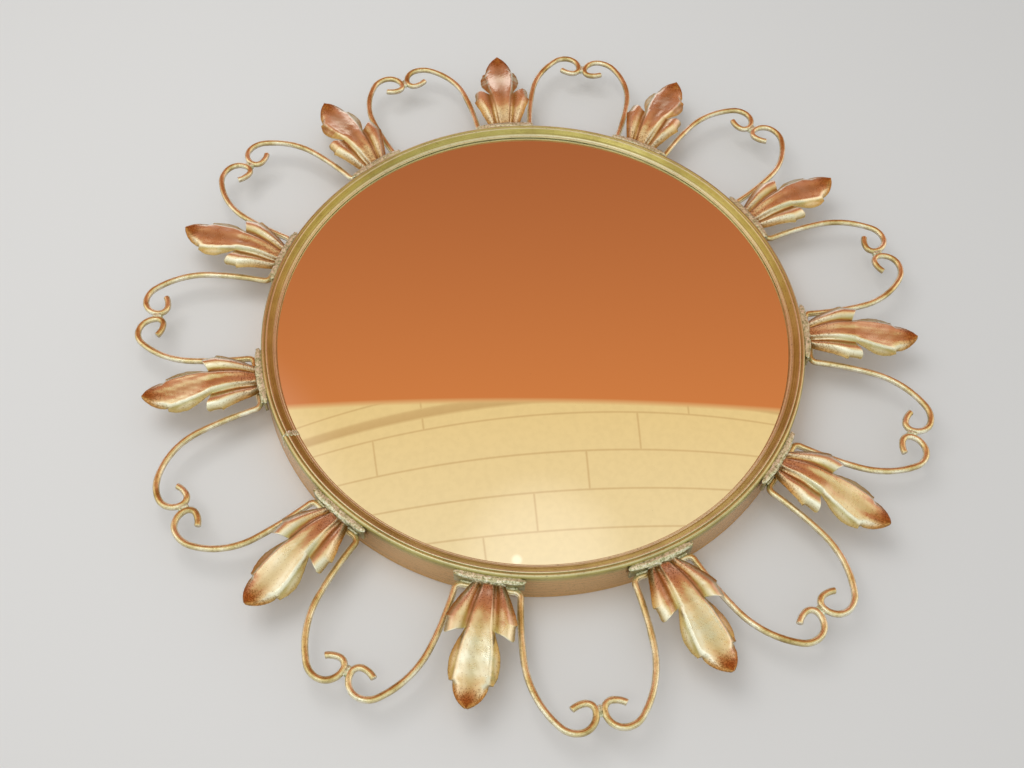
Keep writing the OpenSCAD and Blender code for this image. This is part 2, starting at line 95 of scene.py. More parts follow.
def skin(rings, closedLoop=False):
    # quads between rings of points, and a fan at each end unless the rings close on themselves
    n, m = rings.shape[:2]
    index = np.arange(n * m).reshape(n, m)
    quads = gridFaces(index, closedLoop, True)
    verts = rings.reshape(-1, 3)
    if closedLoop:
        return verts, quads, np.zeros((0, 3), int)
    verts = chain(verts, rings[[0, -1]].mean(axis=1))
    after = np.roll(index, -1, axis=1)
    first, last = stacked(n * m, after[0], index[0]), stacked(n * m + 1, index[-1], after[-1])
    return verts, quads, chain(first, last)


def joined(parts):
    # several skins as one, each numbered on from the last
    verts, quads, tris = zip(*parts)
    starts = np.cumsum([0] + [len(v) for v in verts[:-1]])
    return chain(*verts), *(chain(*(f + start for f, start in zip(faces, starts))) for faces in (quads, tris))


def addMesh(name, verts, quads, tris=(), attributes=None):
    # verts face on in mm; a closed form is turned outwards by the sign of its volume
    verts = toRow(verts)
    quads = np.asarray(quads, dtype=int).reshape(-1, 4)
    tris = np.asarray(tris, dtype=int).reshape(-1, 3)
    halves = chain(tris, quads[:, :3], quads[:, [0, 2, 3]])
    a, b, c = (verts[halves[:, k]] for k in range(3))
    if np.einsum("ij,ij->", a - verts[0], np.cross(b - verts[0], c - verts[0])) < -1e-15:
        quads, tris = quads[:, ::-1], tris[:, ::-1]
    mesh = bpy.data.meshes.new(name)
    mesh.from_pydata(verts.tolist(), [], quads.tolist() + tris.tolist())
    mesh.shade_smooth()
    for key, values in (attributes or {}).items():
        kind, part = ("FLOAT_VECTOR", "vector") if values.ndim == 2 else ("FLOAT", "value")
        layer = mesh.attributes.new(key, kind, "POINT")
        layer.data.foreach_set(part, np.asarray(values, dtype=float).ravel())
    obj = bpy.data.objects.new(name, mesh)
    scene.collection.objects.link(obj)
    return obj


def fit(name, form, material, slotName, nodes=(), body="mirror", **attributes):
    # a piece in its finish that rides on its body and stands for its CAD nodes; form is its points and faces
    obj = addMesh(name, *form, attributes=attributes)
    obj.data.materials.append(material)
    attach(obj, body)
    if nodes:
        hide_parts(*nodes)


def along(points):
    # length from the first point, for each point of a line
    step = np.linalg.norm(np.diff(points, axis=0), axis=1)
    return chain([0], np.cumsum(step))


def arcPoints(centre, r, a0, a1, n):
    # points at radius r about a centre, from angle a0 to a1 in degrees
    a = np.radians(np.linspace(a0, a1, n))
    return stacked(centre[0] + r * np.cos(a), centre[1] + r * np.sin(a))


def linePoints(a, b, n):
    # even points from a up to but not at b
    t = np.linspace(0, 1, n, endpoint=False)[:, None]
    return np.asarray(a) * (1 - t) + np.asarray(b) * t


def waveSum(a, waves):
    # sum of sine waves round the circle, each as its count, where it starts and its strength
    return sum(much * np.sin(count * a + start) for count, start, much in waves)


def lathe(profile, n, wobble=0.0):
    # carries (radius, z) points round the axis; wobble in mm sways the section in and out and up
    a = np.radians(np.linspace(0, 360, n, endpoint=False))[:, None]
    high = profile[None, :, 1]
    r = profile[None, :, 0] + wobble * waveSum(a, ((3, 0.6, 1), (7, 2.1, 0.6), (16, 4.0, 0.35)))
    lift = wobble * waveSum(a, ((4, 1.9, 1), (11, 0.3, 0.5))) * share(high / 10)
    return stacked(r * np.cos(a), r * np.sin(a), high + lift)


def softEnds(long, gap, round):
    # stations along a bar, and how far its skin draws in at each: a quarter circle at both ends
    phi = np.linspace(0, pi / 2, 5)
    near, inset = round * (1 - np.cos(phi)), round * (1 - np.sin(phi))
    middle = np.linspace(round, long - round, max(2, int(long / gap)))[1:-1]
    return chain(near, middle, long - near[::-1]), chain(inset, 0 * middle, inset[::-1])


def roundedLoop(a, b, r, n=5):
    # a rectangle of half sides a and b with corners of radius r, one row for each inset, with a point
    # beside every corner that keeps the sides flat
    a, b, r = (v[..., None] for v in np.broadcast_arrays(a, b, r))
    t = np.radians(np.linspace(0, 90, n))
    u = chain([1], np.cos(t), [-0.5]) * r
    v = chain([-0.5], np.sin(t), [1]) * r
    p, q = a - r, b - r
    x = np.concatenate([p + u, -p - v, -p - u, p + v], axis=-1)
    y = np.concatenate([q + v, q + u, -q - v, -q - u], axis=-1)
    return stacked(x, y)


def unit(rows):
    # each row made 1 long
    return rows / np.maximum(np.linalg.norm(rows, axis=-1, keepdims=True), 1e-6)


def swept(points, side, up, loop):
    # carries a loop of (side, up) offsets along a line of points; side and up are one row, or one for each point
    side, up = (np.asarray(rows)[..., None, :] for rows in (side, up))
    return points[:, None] + loop[..., :1] * side + loop[..., 1:] * up


def roughened(rings, amount, size, seed):
    # moves points out from the middle of their ring by noise read at the place in space
    away = unit(rings - rings.mean(axis=1, keepdims=True))
    x, y = rings[..., 0] + 0.7 * rings[..., 2], rings[..., 1] - 0.6 * rings[..., 2]
    lump = ripple(x, y, seed, size) + 0.45 * ripple(x, y, seed + 5, size * 0.37)
    return rings + away * (amount * lump)[..., None]


def solderBead(points, wide, high, seed, sides=20, amount=0.16, size=4.5):
    # a rough ellipse of half sides wide and high along a line, with streaks, closing like an egg at both ends
    way = unit(np.gradient(points, axis=0))
    side = unit(np.cross(way, (0, 0, 1)))
    up = np.cross(side, way)
    t = np.linspace(-1, 1, len(points))
    swell = np.clip(1 - np.abs(t) ** 5, 0.02, 1) ** 0.5
    a = np.linspace(0, 2 * pi, sides, endpoint=False)
    streak = 1 + 0.09 * np.sin(5 * a + seed + 2.5 * t[:, None]) + 0.06 * np.sin(9 * a - 4 * t[:, None] + seed)
    loop = stacked(wide * np.cos(a) * streak, high * np.sin(a) * streak) * swell[:, None, None]
    rings = swept(points, side, up, loop)
    return skin(roughened(rings, amount * swell[:, None], size, seed))


# The camera stands below the mirror and looks up at it, 31 degrees off its axis.
view = {
    "lens": 37.607,  # mm, on a 36 mm sensor
    "place": (-71.83, -389.43, 598.43),  # mm, face on
    "right": (0.99232, -0.12258, 0.01661),
    "up": (0.09619, 0.84904, 0.51951),
    "aim": (0.07778, 0.51392, -0.8543),
}


def buildCamera():
    # columns of the turn are the picture's right, its up, and the way back from the subject
    turn = np.stack([toRow(view["right"]), toRow(view["up"]), -toRow(view["aim"])], axis=1) * 1000
    data = bpy.data.cameras.new("viewCamera")
    data.sensor_width = 36
    data.lens = view["lens"]
    data.clip_start = 0.01
    cam = bpy.data.objects.new("viewCamera", data)
    cam.matrix_world = Matrix.Translation(Vector(toRow(view["place"]))) @ Matrix(turn.tolist()).to_4x4()
    scene.collection.objects.link(cam)
    scene.camera = cam


buildCamera()
print("camera placed")


class Wiring:
    # short calls that add nodes to one tree and join them
    def __init__(self, owner):
        owner.use_nodes = True
        self.tree = owner.node_tree
        self.tree.nodes.clear()

    def add(self, kind, inputs=(), **values):
        node = self.tree.nodes.new("ShaderNode" + kind)
        for key, value in values.items():
            setattr(node, key, value)
        for key, thing in dict(inputs).items():
            self.feed(node.inputs[key], thing)
        return node

    def feed(self, socket, thing):
        # a link, a tone, a direction or a number
        if isinstance(thing, bpy.types.NodeSocket):
            self.tree.links.new(thing, socket)
        else:
            socket.default_value = (*thing, 1) if socket.type == "RGBA" else thing

    def ramp(self, fac, *stops):
        # stops are (place, tone or number)
        node = self.add("ValToRGB", {0: fac})
        while len(node.color_ramp.elements) < len(stops):
            node.color_ramp.elements.new(0.5)
        for element, (spot, tone) in zip(node.color_ramp.elements, stops):
            element.position = spot
            element.color = (*tone, 1) if isinstance(tone, tuple) else (tone, tone, tone, 1)
        return node.outputs[0]

    def mix(self, fac, a, b, blend="MIX"):
        return self.add("Mix", {0: fac, 6: a, 7: b}, data_type="RGBA", blend_type=blend).outputs[2]

    def times(self, a, b, operation="MULTIPLY"):
        return self.add("Math", {0: a, 1: b}, operation=operation).outputs[0]

    def dot(self, where, direction):
        return self.add("VectorMath", {0: where, 1: direction}, operation="DOT_PRODUCT").outputs["Value"]


# A pale wall, an even light from all round, and a room that only the metal and the glass reflect.
stage = {
    "wallTone": (0.80, 0.79, 0.77),
    "wallHalf": 3000,  # mm, from the middle to its edge
    "wallOpenR": 174,
    "wallBack": 0.3,  # behind the rim's foot
    "evenLight": (0.60, 0.60, 0.60),
    # each lamp has its place in mm face on, its size in m and its power in W
    "lamps": {"keyPanel": ((-350, 250, 1000), 0.8, 3.0), "flashDisc": ((-220, -420, 640), 0.24, 0.36)},
}

# The room's directions are in world axes. Its low part is boarded, and its upper part is warm.
room = {
    "up": (0.125, 0.015, 1),
    # tones by height, which is 0 straight down, 0.5 level and 1 straight up
    "zones": ((0.38, (0.80, 0.82, 0.68)), (0.47, (0.93, 0.74, 0.42)), (0.672, (0.86, 0.62, 0.27)),
              (0.679, (0.66, 0.215, 0.06)), (0.975, (0.41, 0.122, 0.04))),
    "boarded": ((0.40, 0), (0.46, 1), (0.672, 1), (0.676, 0)),
    "out": (0.0706, -0.9646, 0.2541),  # square to the boards
    "along": (0.9974, 0.0647, -0.0316),
    "across": (0.0141, 0.2557, 0.9667),
    "boardWide": 0.0959,  # sizes at a distance of 1
    "boardLong": 0.632,
    "firstSeam": 0.0699,
    "firstJoint": 0.3738,
    "stagger": 0.131,
    "seam": ((0.0007, 0.45), (0.0022, 0)),  # strength by the distance from its middle
    "ledge": ((0.099, 0), (0.104, 0.55), (0.124, 0.45), (0.130, 0)),  # strength by the place across
    "seamTone": (0.48, 0.25, 0.08),
    "grainScale": 70,
    "grain": ((0.35, 0.965), (0.6, 1)),
    # each glow has its direction, the cosines where it starts and is full, and its strength
    "glows": (
        ((-0.80, -0.52, 0.05), 0.78, 1, 0.4),
        ((0.95, -0.28, 0.10), 0.82, 1, 0.45),
        ((0, -0.75, -0.66), 0.80, 0.99, 0.2),
        ((0, 0, 1), 0.926, 0.95, 0.9),
        ((-0.31, -0.91, -0.27), 0.984, 0.998, 1.6),
        ((0.05, -0.99, -0.02), 0.975, 1, 0.12),
        ((-0.009, -1, -0.016), 0.99988, 1, 0.28),
    ),
}


def addLamp(name, place, size, power):
    # a round panel that faces the middle of the mirror and isn't seen in it
    data = bpy.data.lights.new(name, "AREA")
    data.shape = "DISK"
    data.size = size
    data.energy = power
    lamp = bpy.data.objects.new(name, data)
    spot = Vector(toRow(place))
    lamp.location = spot
    lamp.rotation_mode = "QUATERNION"
    lamp.rotation_quaternion = spot.to_track_quat("Z", "Y")
    lamp.visible_glossy = False
    scene.collection.objects.link(lamp)


def buildWall():
    # one flat sheet just behind the rim, seen from its front only and open behind the board
    a = np.radians(np.arange(0, 360, 5))
    edge = stacked(np.cos(a), np.sin(a), 0)
    rings = np.stack([edge * stage["wallHalf"], edge * stage["wallOpenR"]]) - (0, 0, stage["wallBack"])
    index = np.arange(2 * len(a)).reshape(2, -1)
    wall = addMesh("wallSheet", rings.reshape(-1, 3), gridFaces(index, wrapCols=True))
    paint = bpy.data.materials.new("wallPaint")
    w = Wiring(paint)
    behind = w.add("NewGeometry").outputs["Backfacing"]
    face = w.add("BsdfDiffuse", {"Color": stage["wallTone"]})
    mix = w.add("MixShader", {0: behind, 1: face.outputs[0], 2: w.add("BsdfTransparent").outputs[0]})
    w.add("OutputMaterial", {0: mix.outputs[0]})
    wall.data.materials.append(paint)
    wall.visible_diffuse = wall.visible_shadow = False


def boardSeams(w, where):
    # strength of the seams and joints, and the place across the boards: a direction meets their plane
    # at its parts along and across over its part straight out
    k = room
    out = w.dot(where, k["out"])
    across, along = (w.times(w.dot(where, k[key]), out, "DIVIDE") for key in ("across", "along"))
    rowAt = w.times(w.times(across, k["firstSeam"], "SUBTRACT"), 1 / k["boardWide"])
    start = w.times(w.times(w.times(rowAt, 0, "FLOOR"), k["stagger"]), k["firstJoint"], "ADD")
    boardAt = w.times(w.times(along, start, "SUBTRACT"), 1 / k["boardLong"])
    seam = w.times(w.times(rowAt, 0.5, "PINGPONG"), k["boardWide"])
    joint = w.times(w.times(boardAt, 0.5, "PINGPONG"), k["boardLong"])
    return w.ramp(w.times(seam, joint, "MINIMUM"), *k["seam"]), across


def buildRoom():
    # reflections see the room with its glows, the camera sees the wall's tone, and the rest an even light
    world = bpy.data.worlds.new("softRoom")
    scene.world = world
    w = Wiring(world)
    where = w.add("TexCoord").outputs["Generated"]
    height = w.times(w.times(w.dot(where, room["up"]), 0.5), 0.5, "ADD")
    low = w.ramp(height, *room["boarded"])
    grain = w.add("TexNoise", {"Vector": where, "Scale": room["grainScale"]}).outputs["Fac"]
    shine = w.mix(low, w.ramp(height, *room["zones"]), w.ramp(grain, *room["grain"]), "MULTIPLY")
    seams, across = boardSeams(w, where)
    seams = w.times(low, w.times(seams, w.ramp(across, *room["ledge"]), "MAXIMUM"))
    shine = w.mix(seams, shine, room["seamTone"])
    for aim, start, full, strength in room["glows"]:
        near = w.dot(where, Vector(aim).normalized())
        fade = {"Value": near, "From Min": start, "From Max": full, "To Max": strength}
        shine = w.mix(1, shine, w.add("MapRange", fade, interpolation_type="SMOOTHSTEP").outputs[0], "ADD")
    path = w.add("LightPath").outputs
    shine = w.mix(path["Is Glossy Ray"], stage["evenLight"], shine)
    light = w.add("Background", {"Color": w.mix(path["Is Camera Ray"], shine, stage["wallTone"])})
    w.add("OutputWorld", {0: light.outputs[0]})


buildWall()
buildRoom()
for name, lamp in stage["lamps"].items():
    addLamp(name, *lamp)
print("wall, room and lamps set")

# Finishes read Object coordinates in metres, or a piece's own attributes: grain in mm, and shares. A noise has its
# scale in waves a metre, its detail, its roughness, and maybe an attribute to read and a stretch. Tones and rough
# are stops of a field, a layer is stops and the tone it lays on, and a bump is a field and its depth in metres.


class Finish(Wiring):
    # a material with one Principled surface, and a field for each noise and each share in its look
    def __init__(self, name, look):
        self.look = look
        self.material = bpy.data.materials.new(name)
        super().__init__(self.material)
        self.face = self.add("BsdfPrincipled", look["plain"])
        self.add("OutputMaterial", {0: self.face.outputs[0]})
        self.fields = {key: self.noise(*values) for key, values in look["noises"].items()}
        for key in look.get("shares", ()):
            self.fields[key] = self.add("Attribute", attribute_name=key).outputs["Fac"]

    def place(self, attribute=None):
        if attribute:
            return self.add("Attribute", attribute_name=attribute).outputs["Vector"]
        return self.add("TexCoord").outputs["Object"]

    def noise(self, scale, detail, rough, attribute=None, stretch=(1, 1, 1)):
        mapping = self.add("Mapping", {"Vector": self.place(attribute), "Scale": stretch})
        values = {"Vector": mapping.outputs[0], "Scale": scale, "Detail": detail, "Roughness": rough}
        return self.add("TexNoise", values).outputs["Fac"]

    def stops(self, field, *stops):
        return self.ramp(self.fields[field], *stops)

    def build(self):
        # the tones, the layers over them, the roughness, and the bumps on one another
        look, face = self.look, self.face.inputs
        tone = self.stops(*look["tones"])
        for *mask, over in look.get("layers", ()):
            tone = self.mix(self.stops(*mask), tone, over)
        self.feed(face["Base Color"], tone)
        if "rough" in look:
            self.feed(face["Roughness"], self.stops(*look["rough"]))
        for field, depth in look.get("bumps", ()):
            node = self.add("Bump", {"Distance": depth, "Height": self.fields[field]})
            if face["Normal"].links:
                self.feed(node.inputs["Normal"], face["Normal"].links[0].from_socket)
            self.feed(face["Normal"], node.outputs[0])
        return self.material


# lacquered olive brass, drawn round the circle, with cloudy tarnish and specks, cream lines on crest and lip that
# are partly rubbed wear and partly painted highlight, and an orange-brown side wall that is a painted reflection
rimLook = {
    "plain": {"Metallic": 0.85},
    "noises": {"cloud": (38, 5, 0.62), "patch": (11, 3, 0.55), "speck": (900, 2, 0.7),
               "lines": (1, 3, 0.6, "grain", (0.012, 0.012, 2.6))},
    "shares": ("side", "wear"),
    "tones": ("cloud", (0.3, (0.34, 0.27, 0.08)), (0.52, (0.50, 0.43, 0.14)), (0.75, (0.62, 0.55, 0.24))),
    "layers": (
        ("patch", (0.45, 0), (0.7, 0.4), (0.36, 0.36, 0.13)),
        # orange-brown over the side wall below the crest: a painted reflection of warm surroundings, not the
        # metal's own tone
        ("side", (0, 0), (1, 0.85), (0.76, 0.45, 0.21)),
        # cream over the crest, lip and shoulder lines: partly rubbed wear, partly painted highlight
        ("wear", (0, 0), (1, 0.9), (0.97, 0.93, 0.78)),
        ("lines", (0.35, 0.35), (0.6, 0), (0.32, 0.25, 0.09)),
        ("speck", (0.60, 0), (0.70, 0.6), (0.17, 0.11, 0.04)),
    ),
    "rough": ("lines", (0.3, 0.22), (0.7, 0.38)),
    "bumps": (("speck", 0.00003), ("lines", 0.00004)),
}

# satin stamped brass, pale on the ribs as wear and painted highlight, olive in the troughs as patina and painted
# shade, unpolished behind, and brown and stippled where it is dull: at the point, the foot and the edges
leafLook = {
    "plain": {"Metallic": 0.96},
    "noises": {"cloud": (65, 5, 0.6), "grit": (1200, 3, 0.7)},
    "shares": ("wear", "dull", "raw"),
    # pale on the ridges and olive in the troughs: partly wear and patina, partly painted highlight and painted
    # shade
    "tones": ("wear", (0.15, (0.44, 0.37, 0.16)), (0.85, (0.97, 0.94, 0.84))),
    "layers": (
        ("cloud", (0.35, 0.35), (0.7, 0), (0.54, 0.48, 0.26)),
        ("raw", (0, 0), (1, 0.8), (0.74, 0.52, 0.20)),
        # orange-brown where dull: partly tarnish, partly painted shade in the troughs and a painted reflection at
        # the foot
        ("brown", (0, 0), (1, 1), (0.60, 0.28, 0.09)),
        ("stipple", (0.60, 0), (0.71, 0.75), (0.24, 0.11, 0.035)),
    ),
    "rough": ("haze", (0.3, 0.22), (0.85, 0.42)),
    "bumps": (("cloud", 0.0001), ("grit", 0.00006)),
    "brownShadeByWear": ((0.3, 0.7), (0.9, 0.35)),
    "stippleByDull": 0.16,
    "hazeByDull": 0.2,
}


def leafFinish():
    # dull places get the brown, more grit and more haze; the brown is stronger in the troughs as painted shade,
    # and at the foot it is partly a painted reflection
    k, f = leafLook, Finish("leafBrass", leafLook)
    dull = f.fields["dull"]
    f.fields["brown"] = f.times(dull, f.stops("wear", *k["brownShadeByWear"]))
    f.fields["stipple"] = f.times(f.fields["grit"], f.times(dull, k["stippleByDull"]), "ADD")
    f.fields["haze"] = f.times(f.fields["cloud"], f.times(dull, k["hazeByDull"]), "ADD")
    return f.build()


# drawn rod, pale on its front and dark brown on its sides and back, partly tarnish and partly painted shade, with
# fine lines along it
rodLook = {
    "plain": {"Metallic": 0.95},
    "noises": {"cloud": (60, 5, 0.65), "grit": (1100, 3, 0.7), "lines": (1, 3, 0.6, "grain", (0.02, 1.6, 1.6))},
    "tones": ("cloud", (0.3, (0.46, 0.35, 0.14)), (0.46, (0.80, 0.69, 0.42)), (0.62, (0.98, 0.94, 0.80))),
    "layers": (
        # dark brown on the rod's sides and back: partly tarnish, partly painted shade
        ("front", (0.27, 0.3), (0.40, 0.85), (0.76, 0), (0.22, 0.12, 0.035)),
        ("lines", (0.35, 0.4), (0.55, 0), (0.32, 0.24, 0.12)),
        ("grit", (0.54, 0), (0.68, 0.65), (0.20, 0.12, 0.05)),
    ),
    "rough": ("lines", (0.3, 0.20), (0.7, 0.38)),
    "bumps": (("grit", 0.00005), ("lines", 0.00005)),
    "sideShadeByHeight": (0, 0, 0.18),
    "sideShadeByCloud": 0.25,
}


def rodFinish():
    # front grows from 0 at the back of the rod to 1 at its front, and sways with the clouds; where it is low the
    # rod gets painted shade
    k, f = rodLook, Finish("rodBrass", rodLook)
    front = f.times(f.dot(f.place("grain"), k["sideShadeByHeight"]), 0.5, "ADD")
    f.fields["front"] = f.times(front, f.times(f.fields["cloud"], k["sideShadeByCloud"]), "ADD")
    return f.build()


# dull grey metal with a green bloom, rough as it froze
solderLook = {
    "plain": {"Metallic": 0.7},
    "noises": {"lump": (760, 4, 0.65), "grit": (1700, 3, 0.7)},
    "tones": ("lump", (0.34, (0.30, 0.32, 0.18)), (0.48, (0.66, 0.67, 0.47)), (0.62, (0.93, 0.93, 0.84))),
    "layers": (("grit", (0.54, 0), (0.68, 0.65), (0.18, 0.19, 0.09)),),
    "rough": ("lump", (0.3, 0.55), (0.7, 0.30)),
    "bumps": (("lump", 0.00014), ("grit", 0.00012)),
}

# brass strip under dried flux: green bloom over a dull gold
plateLook = {
    "plain": {"Metallic": 0.9},
    "noises": {"cloud": (220, 5, 0.65), "grit": (1500, 3, 0.7)},
    "tones": ("cloud", (0.35, (0.28, 0.28, 0.15)), (0.55, (0.48, 0.43, 0.24)), (0.7, (0.66, 0.62, 0.45))),
    "layers": (("grit", (0.56, 0), (0.72, 0.6), (0.16, 0.15, 0.07)),),
    "rough": ("cloud", (0.3, 0.36), (0.7, 0.52)),
    "bumps": (("grit", 0.0001),),
}

# silvered glass, nearly perfect, with a faint dusty bloom and a few specks
mirrorLook = {
    "plain": {"Metallic": 1},
    "noises": {"dust": (9, 6, 0.65), "speck": (650, 2, 0.6)},
    "tones": ("speck", (0.72, (0.93, 0.935, 0.92)), (0.80, (0.837, 0.8405, 0.824))),
    "rough": ("dust", (0.35, 0), (0.75, 0.025)),
}

# brown pressed fibre with a rubbed face
boardLook = {
    "plain": {"Specular IOR Level": 0.35},
    "noises": {"fibre": (900, 4, 0.7), "strand": (240, 5, 0.75, None, (1, 1, 3)), "cloud": (9, 4, 0.6)},
    "tones": ("fibre", (0.35, (0.19, 0.115, 0.062)), (0.6, (0.25, 0.155, 0.085)), (0.75, (0.32, 0.205, 0.115))),
    "layers": (
        ("strand", (0.60, 0), (0.70, 0.5), (0.13, 0.075, 0.04)),
        ("cloud", (0.4, 0), (0.7, 0.4), (0.17, 0.10, 0.055)),
    ),
    "rough": ("fibre", (0.3, 0.42), (0.7, 0.62)),
    "bumps": (("fibre", 0.00008),),
}

# grey-brown card
cardLook = {
    "plain": {"Roughness": 0.85},
    "noises": {"fibre": (500, 5, 0.7)},
    "tones": ("fibre", (0.3, (0.28, 0.20, 0.13)), (0.7, (0.40, 0.31, 0.21))),
    "bumps": (("fibre", 0.0001),),
}

# plain sheet for the back, scratched and dulled
sheetLook = {
    "plain": {"Metallic": 1},
    "noises": {"cloud": (70, 5, 0.6), "scratch": (900, 3, 0.6, None, (1, 1, 0.06))},
    "tones": ("cloud", (0.3, (0.42, 0.32, 0.14)), (0.6, (0.62, 0.50, 0.26)), (0.75, (0.70, 0.59, 0.34))),
    "layers": (("scratch", (0.6, 0), (0.7, 0.4), (0.30, 0.22, 0.10)),),
    "rough": ("scratch", (0.35, 0.24), (0.7, 0.46)),
    "bumps": (("scratch", 0.00003),),
}

rimBrass = Finish("rimBrass", rimLook).build()
leafBrass = leafFinish()
rodBrass = rodFinish()
softSolder = Finish("softSolder", solderLook).build()
plateBrass = Finish("plateBrass", plateLook).build()
mirrorSilver = Finish("mirrorSilver", mirrorLook).build()
hardboard = Finish("hardboard", boardLook).build()
packingCard = Finish("packingCard", cardLook).build()
sheetBrass = Finish("sheetBrass", sheetLook).build()
print("finishes made")

# Section of the rolled strip, as radius and height off the wall.
rimSize = {
    "crest": 172, "depth": 27, "strip": 1.2,
    "shoulderOut": 3.6, "shoulderR": 2.2, "wallFlare": 1.2, "footBead": 0.9,
    # points out from the crest and down, over the groove and under the slope
    "groove": ((1.15, 0.22), (0.92, 0.50), (0.80, 0.68), (0.70, 0.68), (0.60, 0.45), (0.45, 0.18), (0.22, 0.04),
               (0, 0), (-0.25, 0.05), (-0.5, 0.22)),
    "under": ((-4, 4.5), (-0.5, 1.9), (1.4, 1.45), (2.1, 1.8), (2.4, 2.5)),
    "slopeWide": 5.2,
    "slopeDrop": 3.9,
    "slopeBend": (0.72, 0.14),  # shares of the drop that grow with the way down the slope and with its square
    "lineAt": 0.68,  # a fine line in the slope: its place and spread as shares of the slope, and its depth
    "lineWide": 0.045,
    "lineDeep": 0.3,
    "lipR": 0.7,
    # where the face is painted bright, partly rubbed wear and partly painted highlight, as shares of the slope
    # from the crest: place, spread, strength
    "wearAndHighlightAt": ((0, 0.10, 1), (0.98, 0.13, 1), (0.77, 0.05, 0.55), (-0.42, 0.13, 0.5)),
    "sideReflectionFrom": 3,  # below the crest, where the side wall's painted reflection starts
    "around": 720,
    "wobble": 0.06,
}


def rimOutside():
    # the shown face, from the foot bead up the wall, over shoulder, groove and crest, down to the lip
    k = rimSize
    crest, depth = k["crest"], k["depth"]
    topR = crest + k["shoulderOut"]
    footR = topR + k["wallFlare"]
    wallTop = depth - k["shoulderR"]
    bead = arcPoints((footR - 0.6, k["footBead"]), k["footBead"], -90, 35, 10)
    wall = linePoints((footR - 0.06, 1.9), (topR, wallTop), 14)
    shoulder = arcPoints((topR - k["shoulderR"], wallTop), k["shoulderR"], 0, 86, 14)
    groove = np.array(k["groove"]) * (1, -1) + (crest, depth)
    t = np.linspace(0.1, 0.95, 40)
    line = k["lineDeep"] * np.exp(-((t - k["lineAt"]) / k["lineWide"]) ** 2)
    even, more = k["slopeBend"]
    slope = stacked(crest - k["slopeWide"] * t, depth - k["slopeDrop"] * (even * t + more * t * t) - line)
    lip = arcPoints((crest - k["slopeWide"], depth - k["slopeDrop"]), k["lipR"], 55, 255, 12)
    return chain(bead, wall, shoulder, groove, slope, lip)


def rimInside():
    # the hidden face, from the lip back to the foot
    k = rimSize
    inR = k["crest"] + k["shoulderOut"] - k["strip"]
    under = np.array(k["under"]) * (1, -1) + (k["crest"], k["depth"])
    wall = linePoints((inR, k["depth"] - 3.2), (inR + k["wallFlare"], 0), 8)
    return chain(under, wall, [(inR + k["wallFlare"], 0.0)])


def buildRim():
    # the section carried round the circle; grain keeps the place round the rim and the length across it
    k = rimSize
    profile = chain(rimOutside(), rimInside())
    grid = lathe(profile, k["around"], k["wobble"])
    n, m = grid.shape[:2]
    middle = k["crest"] * grid[..., :2] / np.linalg.norm(grid[..., :2], axis=-1, keepdims=True)
    grain = stacked(middle[..., 0], middle[..., 1], along(profile))
    inward, high = (k["crest"] - profile[:, 0]) / k["slopeWide"], profile[:, 1]
    # the crest, lip and shoulder lines painted cream: partly rubbed wear, partly painted highlight
    wear = sum(much * np.exp(-((inward - spot) / wide) ** 2) for spot, wide, much in k["wearAndHighlightAt"])
    wear = share(wear) * (high > 20)
    # side marks the outer wall below the crest, which gets the orange-brown painted reflection
    side = share((k["depth"] - k["sideReflectionFrom"] - high) / 3) * (inward < 0)
    fit("rolledRim", (grid.reshape(-1, 3), gridFaces(np.arange(n * m).reshape(n, m), True, True)), rimBrass,
        "rolled_brass", ["rim"], grain=grain.reshape(-1, 3), wear=np.tile(wear, n), side=np.tile(side, n))


buildRim()
print("rim rolled")

seam = {
    "angle": 202.3,  # degrees anticlockwise from the right
    "blobHalf": 1.9,  # mm, on the slope
    "lineHalf": 0.55,  # on the shoulder and the wall
    "high": 0.42,
    "fromZ": 12,  # off the wall, where the line ends
}


def buildSeam():
    # solder along the rim's section: a wide smear from lip to crest, then a thin line down the wall
    k = seam
    path = rimOutside()
    path = path[path[:, 1] > k["fromZ"]][::-1][3:]
    s = along(path)
    stations, inset = softEnds(s[-1], 0.35, 0.3)
    r, z = (np.interp(stations, s, column) for column in path.T)
    way = unit(np.gradient(stacked(r, z), axis=0))
    crossAt = s[np.argmin(np.abs(path[:, 0] - rimSize["crest"]))]
    t = share((stations - crossAt) / 2.5)
    half = (k["blobHalf"] * (1 - t) + k["lineHalf"] * t) * (1 + 0.22 * np.sin(stations * 2.3)) - inset
    points = stacked(r, 0, z)
    up = stacked(-way[:, 1], 0, way[:, 0])
    up *= np.sign((up * (points - (rimSize["crest"] - 1, 0, k["fromZ"]))).sum(axis=1, keepdims=True))
    a = np.linspace(0, 2 * pi, 20, endpoint=False)
    loop = stacked(half[:, None] * np.cos(a), (k["high"] - inset[:, None]) * np.sin(a))
    rings = turned(roughened(swept(points, (0, 1, 0), up, loop), 0.12, 1.6, 3), k["angle"])
    fit("seamSolder", skin(rings), softSolder, "solder", ["rim_seam"])


buildSeam()
print("seam soldered")

glass = {"lipR": 166.1, "bulge": 17, "thick": 3, "edgeR": 173.2, "lipZ": 22.35}


def discSkin(profile, n, centre=(0, 0, 0)):
    # carries a profile that starts and ends by the axis round it, and closes both poles
    return skin(np.swapaxes(lathe(profile, n), 0, 1) + np.asarray(centre, dtype=float))


def glassFace(r, inner=0):
    # points of the glass's face at r from the axis: a ball through the lip and the crown, its radius less inner
    k = glass
    ball = (k["lipR"] ** 2 + k["bulge"] ** 2) / (2 * k["bulge"])
    return stacked(r, k["lipZ"] + k["bulge"] - ball + np.sqrt((ball - inner) ** 2 - r ** 2))


